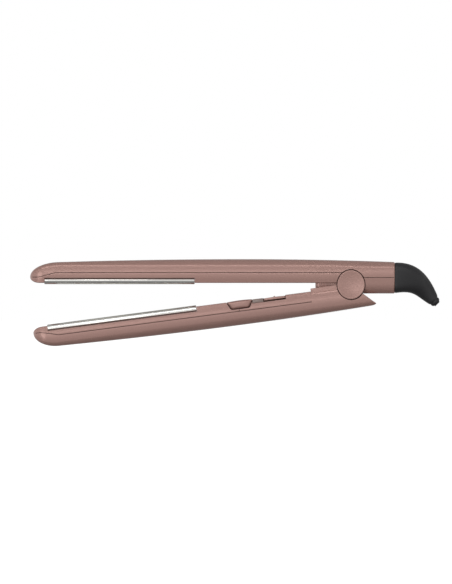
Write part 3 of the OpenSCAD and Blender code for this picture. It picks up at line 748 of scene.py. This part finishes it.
def lower_outer_shell():
    piece = yoke()
    for ear in ears():
        combine(piece, ear, "UNION")
    combine(piece, bar(KNUCKLE_ROOM, -EAR_IN, EAR_IN, on_lower))
    combine(piece, block((-27.3, -EAR_IN, -15), (0, EAR_IN, 3.6), on_lower))
    combine(piece, block((-1, -EAR_IN, -15), (25, EAR_IN, 6.5), on_lower))
    combine(piece, block((YOKE_FRONT - 1, -7, 10.4), (8, 7, 15), on_lower))
    combine(piece, bar(BUSH_HOLE, -20, 20, on_lower))
    cut_cover_room(piece, on_lower)
    combine(piece, arm_shell("tool", LOWER, back_rows, -LOWER.reach, PLUG_END), "UNION")
    finish_piece(piece, "lower_arm", ROSE, ["lower_outer_shell"])
    paint_seam_shade(piece, LOWER)


def button_outline(clear, depth, top):
    """Rounded trapezoid of the power button, wider at the face than at its bottom."""
    half = BUTTON_HALF + clear
    left = [(BUTTON_X - half, top), (BUTTON_X - half, FACE + 0.6)]
    left += arc((BUTTON_X - half + 4.2, FACE + depth - 2.4), 2.4, 2.4, 165, 90, 8)
    return left + [(2 * BUTTON_X - x, z) for x, z in reversed(left)]


def cut_button_slot(piece):
    """Slot for the cap, with upright walls in its middle for the cap's skirt."""
    combine(piece, prism(button_outline(SLOT_CLEAR, SLOT_DEPTH, -5), -20, 20, on_lower))
    combine(piece, block((BUTTON_X - WELL_HALF, -WELL_SIDE, -5),
                         (BUTTON_X + WELL_HALF, WELL_SIDE, 3.4), on_lower))


def lower_inner_shell():
    piece = arm_shell("lower_inner_shell_skin", LOWER, face_rows, -LOWER.reach,
                      CONTROL_SPLIT - SPLIT_GAP, list(PLATE_ZONE), beside_plate)
    close_plate_zone(piece, on_lower)
    cut_button_slot(piece)
    along = (BUTTON_X - BENCH_END, CONTROL_SPLIT - 0.25)
    for bench in both_sides(side_block, BENCH_IN, BENCH_OUT, along, BENCH_LEVELS):
        combine(piece, bench, "UNION")
    finish_piece(piece, "lower_arm", ROSE, ["lower_inner_shell"])
    paint_seam_shade(piece, LOWER)
    # The inner surfaces under the controls are painted dark as shade.
    paint(piece, PAINTED_SLOT_SHADE, lambda p: in_bench_shade(to_lower(p)))


def rocker_end(sign, radius, low, high):
    """End of the rocker's opening, turned about the rocker's pivot."""
    return [(ROCKER_X + sign * math.sqrt(radius ** 2 - (ROCKER_PIVOT - z) ** 2), z)
            for z in spread(low, high, 6)]


def control_cover():
    piece = arm_shell("control_cover_skin", LOWER, face_rows,
                      CONTROL_SPLIT + SPLIT_GAP, PLUG_END - 0.03)
    cut_button_slot(piece)
    combine(piece, block((PANEL_FRONT, -20, -5), (PANEL_REAR, 20, PANEL_Z), on_lower))
    shelf = block((PANEL_FRONT - 1, -13.6, PANEL_Z), (PANEL_REAR + 1, 13.6, PANEL_Z + 1.6), on_lower)
    combine(piece, shelf, "UNION")
    along = (CONTROL_SPLIT - 0.2, BUTTON_X + BENCH_END)
    for bench in both_sides(side_block, BENCH_IN, BENCH_OUT, along, BENCH_LEVELS):
        combine(piece, bench, "UNION")
    for start, end, half, low in ((CONTROL_SPLIT + 0.3, CONTROL_SPLIT + 1.2, 13.6, 7.2),
                                  (CONTROL_SPLIT - 1, CONTROL_SPLIT + 0.6, 13.1, 7.25)):
        combine(piece, block((start, -half, low), (end, half, low + 1.6), on_lower), "UNION")
    rib = block((PANEL_FRONT, -6, PANEL_Z - 0.4), (PANEL_REAR, 6, PANEL_Z + 0.2), on_lower)
    combine(piece, rib, "UNION")
    front_bar = block((PANEL_FRONT - 0.3, -12, FACE + 0.5),
                      (PANEL_FRONT + 0.2, 12, PANEL_Z + 0.3), on_lower)
    combine(piece, front_bar, "UNION")
    for sign, outer in ((-1, BLOCK_FRONT), (1, BLOCK_REAR)):
        outline = rocker_end(sign, ROCKER_R + 0.07, FACE + 0.5, PANEL_Z + 0.3)
        outline += [(ROCKER_X + sign * outer, PANEL_Z + 0.3), (ROCKER_X + sign * outer, FACE + 0.5)]
        combine(piece, prism(outline, -12, 12, on_lower), "UNION")
    finish_piece(piece, "lower_arm", ROSE, ["control_cover"])
    paint_seam_shade(piece, LOWER)
    # The inner surfaces under the controls are painted dark as shade.
    paint(piece, PAINTED_SLOT_SHADE, lambda p: in_bench_shade(to_lower(p)))


def in_bench_shade(p):
    """Inner surfaces under the controls, painted dark as shade."""
    inside = FACE + 0.45 < p.z < 9 and abs(p.y) < 13.65
    return inside and BUTTON_X - 11.1 < p.x < PANEL_REAR + 0.35


# ---- Controls ---------------------------------------------------------------------------

def power_button():
    """Pillow-shaped cap that wraps over the edge on both sides."""
    half = HALF - 0.45
    outline = button_outline(0, CAP_DEPTH, FACE + 0.4)
    crown = [(x, FACE - 0.4 * (1 - ((x - BUTTON_X) / BUTTON_HALF) ** 2))
             for x in spread(BUTTON_X + 9.0, BUTTON_X - 9.0, 17)]
    ring = outline + crown
    middle = (BUTTON_X, FACE + 2.9)
    rings = []
    for y, keep in ((half, 0.0), (half - 0.05, 0.3), (half - 0.2, 0.55), (half - 0.5, 0.77),
                    (half - 0.95, 0.91), (half - 1.35, 0.97), (half - 1.8, 1.0)):
        rings.append([(middle[0] + (x - middle[0]) * max(keep, 0.001), y,
                       middle[1] + (z - middle[1]) * max(keep, 0.001)) for x, z in ring])
    rings += [[(x, -y, z) for x, y, z in r] for r in reversed(rings)]
    piece = tube("power_button_skin", rings, on_lower)
    combine(piece, block((BUTTON_X - 12, -12.55, FACE + 1.3), (BUTTON_X + 12, 12.55, 12), on_lower))
    skirt = block((BUTTON_X - SKIRT_HALF, -SKIRT_SIDE, FACE + 0.35),
                  (BUTTON_X + SKIRT_HALF, SKIRT_SIDE, FACE + 1.25), on_lower)
    combine(piece, skirt, "UNION")
    for start in (BUTTON_X - SKIRT_HALF, BUTTON_X + 7.9):
        combine(piece, block((start, -8.8, FACE + 0.5), (start + 1.7, 8.8, 5), on_lower), "UNION")
    finish_piece(piece, "power_button", ROSE, ["power_button"], 40)
    # The button's skirt and underside are painted dark as shade.
    paint(piece, PAINTED_SLOT_SHADE, lambda p: in_skirt_shade(to_lower(p)))


def in_skirt_shade(p):
    """Skirt round the button's cap, and the cap's underside; both are painted dark as shade."""
    return abs(p.y) < 12.7 and (p.z > FACE + 1.1 or abs(p.x - BUTTON_X) > 9.4)


def softened_bar(name, outline, half, place, fillet=0.5):
    """An outline drawn out across the arm with rounded ends."""
    cx = sum(x for x, z in outline) / len(outline)
    cz = sum(z for x, z in outline) / len(outline)
    wide = max(abs(x - cx) for x, z in outline)
    high = max(abs(z - cz) for x, z in outline)
    rings = []
    for t in (90, 60, 30, 0):
        inset = fillet * (1 - math.cos(math.radians(t)))
        y = half - fillet + fillet * math.sin(math.radians(t))
        rings.append([(cx + (x - cx) * (1 - inset / wide), y, cz + (z - cz) * (1 - inset / high))
                      for x, z in outline])
    rings += [[(x, -y, z) for x, y, z in r] for r in reversed(rings)]
    return tube(name, rings, place)


def temperature_rocker():
    """Rocking bar with a raised pip in its middle and hollowed ends."""
    start, end = ROCKER_X - ROCKER_LEN / 2, ROCKER_X + ROCKER_LEN / 2
    top = [(x, FACE + 0.42 - 0.1 * math.cos(2 * math.pi * (x - ROCKER_X) / ROCKER_LEN))
           for x in spread(end - 0.4, start + 0.4, 33)]
    outline = rocker_end(-1, ROCKER_R, FACE + 0.9, FACE + 2.3)
    outline += rocker_end(1, ROCKER_R, FACE + 0.9, FACE + 2.3)[::-1] + top
    piece = softened_bar("temperature_rocker_skin", outline, HALF - 0.75, on_lower, 0.6)
    combine(piece, bar(0.6, -11, 11, on_lower, (ROCKER_X, FACE + 0.3)), "UNION")
    foot = rocker_end(-1, ROCKER_R - 0.01, FACE + 1.5, PANEL_Z - 0.4)
    foot += rocker_end(1, ROCKER_R - 0.01, FACE + 1.5, PANEL_Z - 0.4)[::-1]
    for low, high in ((6.5, 12.6), (-12.6, -6.5)):
        combine(piece, prism(foot, low, high, on_lower), "UNION")
    finish_piece(piece, "temperature_rocker", ROSE, ["temperature_rocker"])
    # The rocker's underside and foot are painted dark as shade.
    paint(piece, PAINTED_GAP_SHADE, lambda p: in_rocker_underside_shade(to_lower(p)))


def in_rocker_underside_shade(p):
    """Underside of the rocker and the foot that turns in its opening, painted dark as shade."""
    return p.z > FACE + 2.2 or abs(p.y) < 12.7 and p.z > FACE + 1.45


def display_lens():
    start, end = PANEL_FRONT + 0.25, ROCKER_X - LENS_END
    outline = [(start, PANEL_Z), (start, FACE + 0.5), (start + 0.4, FACE + 0.12)]
    outline += [(end - 0.4, FACE + 0.2), (end, FACE + 0.6), (end, PANEL_Z)]
    piece = softened_bar("display_lens_skin", outline, HALF - 0.7, on_lower, 0.5)
    finish_piece(piece, "lower_arm", LENS, ["display_lens"])


# ---- Cord boot --------------------------------------------------------------------------

BOOT_TOP = [(HOUSING_REAR, 16.15), (50.6, 17.0), (58.2, 5.0), (64.0, -9.0)]
BOOT_UNDER = [(HOUSING_REAR, -6.2), (47.1, -4.2), (46.4, -7.5), (58.4, -14.9)]


def bezier(points, t):
    weights = ((1 - t) ** 3, 3 * (1 - t) ** 2 * t, 3 * (1 - t) * t * t, t ** 3)
    return Vector([sum(w * p[axis] for w, p in zip(weights, points)) for axis in (0, 1)])


def horn_ring(t, inset):
    top, under = bezier(BOOT_TOP, t), bezier(BOOT_UNDER, t)
    middle, up = (top + under) / 2, (top - under) / 2
    high = up * (1 - inset / up.length)
    wide = HALF - 0.3 - 10.1 * smooth(t, 0, 1) - inset
    power = 2 / (5 - 3 * min(1, 1.6 * t))
    ring = []
    for k in range(96):
        c, s = math.cos(2 * math.pi * k / 96), math.sin(2 * math.pi * k / 96)
        h = math.copysign(abs(s) ** power, s)
        w = math.copysign(abs(c) ** power, c)
        ring.append((middle[0] + high[0] * h, wide * w, middle[1] + high[1] * h))
    return ring


def at_outlet(p):
    """Turns a lathe's axis so that it runs out of the cord outlet."""
    d = math.sqrt(0.5)
    x, y, z = p
    return on_upper((OUTLET[0] - x * d + z * d, y, OUTLET[2] - x * d - z * d))


def cord_boot():
    rounding = [(0.0, 0.55), (0.004, 0.25), (0.012, 0.08), (0.025, 0.0)]
    rings = [horn_ring(t, inset) for t, inset in rounding]
    rings += [horn_ring(t, 0) for t in spread(0.04, 0.96, 46)]
    rings += [horn_ring(t, inset) for t, inset in ((0.975, 0.08), (0.99, 0.3), (1.0, 0.75))]
    piece = tube("cord_boot_skin", rings)
    hole = [(ON_AXIS, -12.2), (3.35, -12.2), (3.35, 9), (ON_AXIS, 9)]
    combine(piece, lathe("tool", hole, 96, at_outlet, False))
    finish_piece(piece, "upper_arm", BLACK, ["cord_boot"])


def swivel_bush():
    """Bush with a rounded end and the hole for the cord."""
    hole, sleeve, dome = 2.3, 3.3, 3.7
    profile = [(hole, -12), (sleeve, -12), (sleeve, -0.1), (dome, -0.1)]
    profile += arc((0, 0.87), dome + 0.05, 2.44, 0, 62, 9) + arc((2.6, 3.04), 0.3, 0.3, 90, 180, 5)
    piece = lathe("swivel_bush_skin", profile, 96, at_outlet)
    finish_piece(piece, "cord_swivel", BLACK, ["swivel_bush"], 50)


# ---- Studio -----------------------------------------------------------------------------

def camera():
    """Long lens at right angles to the side of the iron."""
    data = bpy.data.cameras.new("camera")
    data.lens = 600
    seen = 0.4283                 # height of the view at the iron
    distance = data.lens / data.sensor_width * seen
    eye = bpy.data.objects.new("camera", data)
    eye.location = HINGE + Vector((-0.0915, -distance, -0.0054))
    eye.rotation_euler = (math.pi / 2, 0, 0)
    data.clip_end = 50
    bpy.context.scene.collection.objects.link(eye)
    bpy.context.scene.camera = eye


def stage_plane(name, size, location, rotation, colour, glow):
    half = size / 2
    mesh = bpy.data.meshes.new(name)
    mesh.from_pydata([(-half, -half, 0), (half, -half, 0), (half, half, 0), (-half, half, 0)],
                     [], [(0, 1, 2, 3)])
    plane = bpy.data.objects.new(name, mesh)
    plane.location, plane.rotation_euler = location, rotation
    bpy.context.scene.collection.objects.link(plane)
    material, tree, shader = new_material(name, 0.9)
    shader.inputs["Base Color"].default_value = (*colour, 1)
    shader.inputs["Specular IOR Level"].default_value = 0.0
    shader.inputs["Emission Color"].default_value = (1, 1, 1, 1)
    shader.inputs["Emission Strength"].default_value = glow
    mesh.materials.append(material)
    for kind in ("visible_diffuse", "visible_glossy", "visible_shadow"):
        setattr(plane, kind, False)
    plane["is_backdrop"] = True


def world():
    """Soft surroundings: brightest at eye level, darker above and darkest below."""
    made = bpy.data.worlds.new("studio")
    bpy.context.scene.world = made
    made.use_nodes = True
    tree = made.node_tree
    place = tree.nodes.new("ShaderNodeTexCoord")
    parts = tree.nodes.new("ShaderNodeSeparateXYZ")
    tree.links.new(place.outputs["Generated"], parts.inputs["Vector"])
    ramp_node = tree.nodes.new("ShaderNodeValToRGB")
    stops = ((0.0, 0.12), (0.1, 0.22), (0.25, 0.31), (0.36, 0.48), (0.45, 0.82), (0.5, 0.88),
             (0.7, 0.36), (1.0, 0.36))
    elements = ramp_node.color_ramp.elements
    while len(elements) < len(stops):
        elements.new(0.5)
    for element, (position, value) in zip(elements, stops):
        element.position = position
        element.color = (value, value, value, 1)
    height = tree.nodes.new("ShaderNodeMapRange")
    height.inputs["From Min"].default_value = -1
    tree.links.new(parts.outputs["Z"], height.inputs["Value"])
    tree.links.new(height.outputs["Result"], ramp_node.inputs["Fac"])
    tree.links.new(ramp_node.outputs["Color"], tree.nodes["Background"].inputs["Color"])
    tree.nodes["Background"].inputs["Strength"].default_value = 1.0


def soft_light(name, azimuth, elevation, distance, wide, high, power):
    """Rectangular light aimed at the middle of the iron; azimuth 0 is the camera's side."""
    low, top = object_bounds()
    centre = (low + top) / 2
    a, e = math.radians(azimuth), math.radians(elevation)
    away = Vector((math.sin(a) * math.cos(e), -math.cos(a) * math.cos(e), math.sin(e)))
    data = bpy.data.lights.new(name, "AREA")
    data.shape = "RECTANGLE"
    data.size, data.size_y = wide, high
    data.energy = power
    lamp = bpy.data.objects.new(name, data)
    lamp.location = centre + away * distance
    lamp.rotation_euler = (-away).to_track_quat("-Z", "Y").to_euler()
    bpy.context.scene.collection.objects.link(lamp)


def studio():
    low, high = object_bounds()
    stage_plane("floor", 12, (0, 0, low.z - 0.0002), (0, 0, 0), (0.5, 0.5, 0.5), 0.9)
    stage_plane("backdrop", 30, (0, 9, 0), (math.pi / 2, 0, 0), (0, 0, 0), 1.0)
    world()
    soft_light("level_strip", -5, 5, 1.8, 0.7, 0.14, 0.65)
    soft_light("high_front", 0, 32, 2.0, 2.6, 0.3, 7.4)
    soft_light("top_front", 0, 50, 2.0, 2.6, 0.4, 1.7)
    soft_light("left", -32, 8, 2.0, 2.0, 1.4, 1.8)
    soft_light("low_left", -45, -5, 1.8, 1.0, 0.7, 2.8)
    bpy.context.scene.view_settings.view_transform = "Standard"


# ---- Making -----------------------------------------------------------------------------

upper_outer_shell()
upper_inner_shell()
heated_plate("upper_plate_skin", "upper_plate_set", on_upper)
heated_plate("lower_plate_skin", "lower_plate_set", on_lower)
hinge_cover("left_hinge_cover_skin", 1)
hinge_cover("right_hinge_cover_skin", -1)
lower_outer_shell()
lower_inner_shell()
control_cover()
power_button()
temperature_rocker()
display_lens()
cord_boot()
swivel_bush()
camera()
studio()
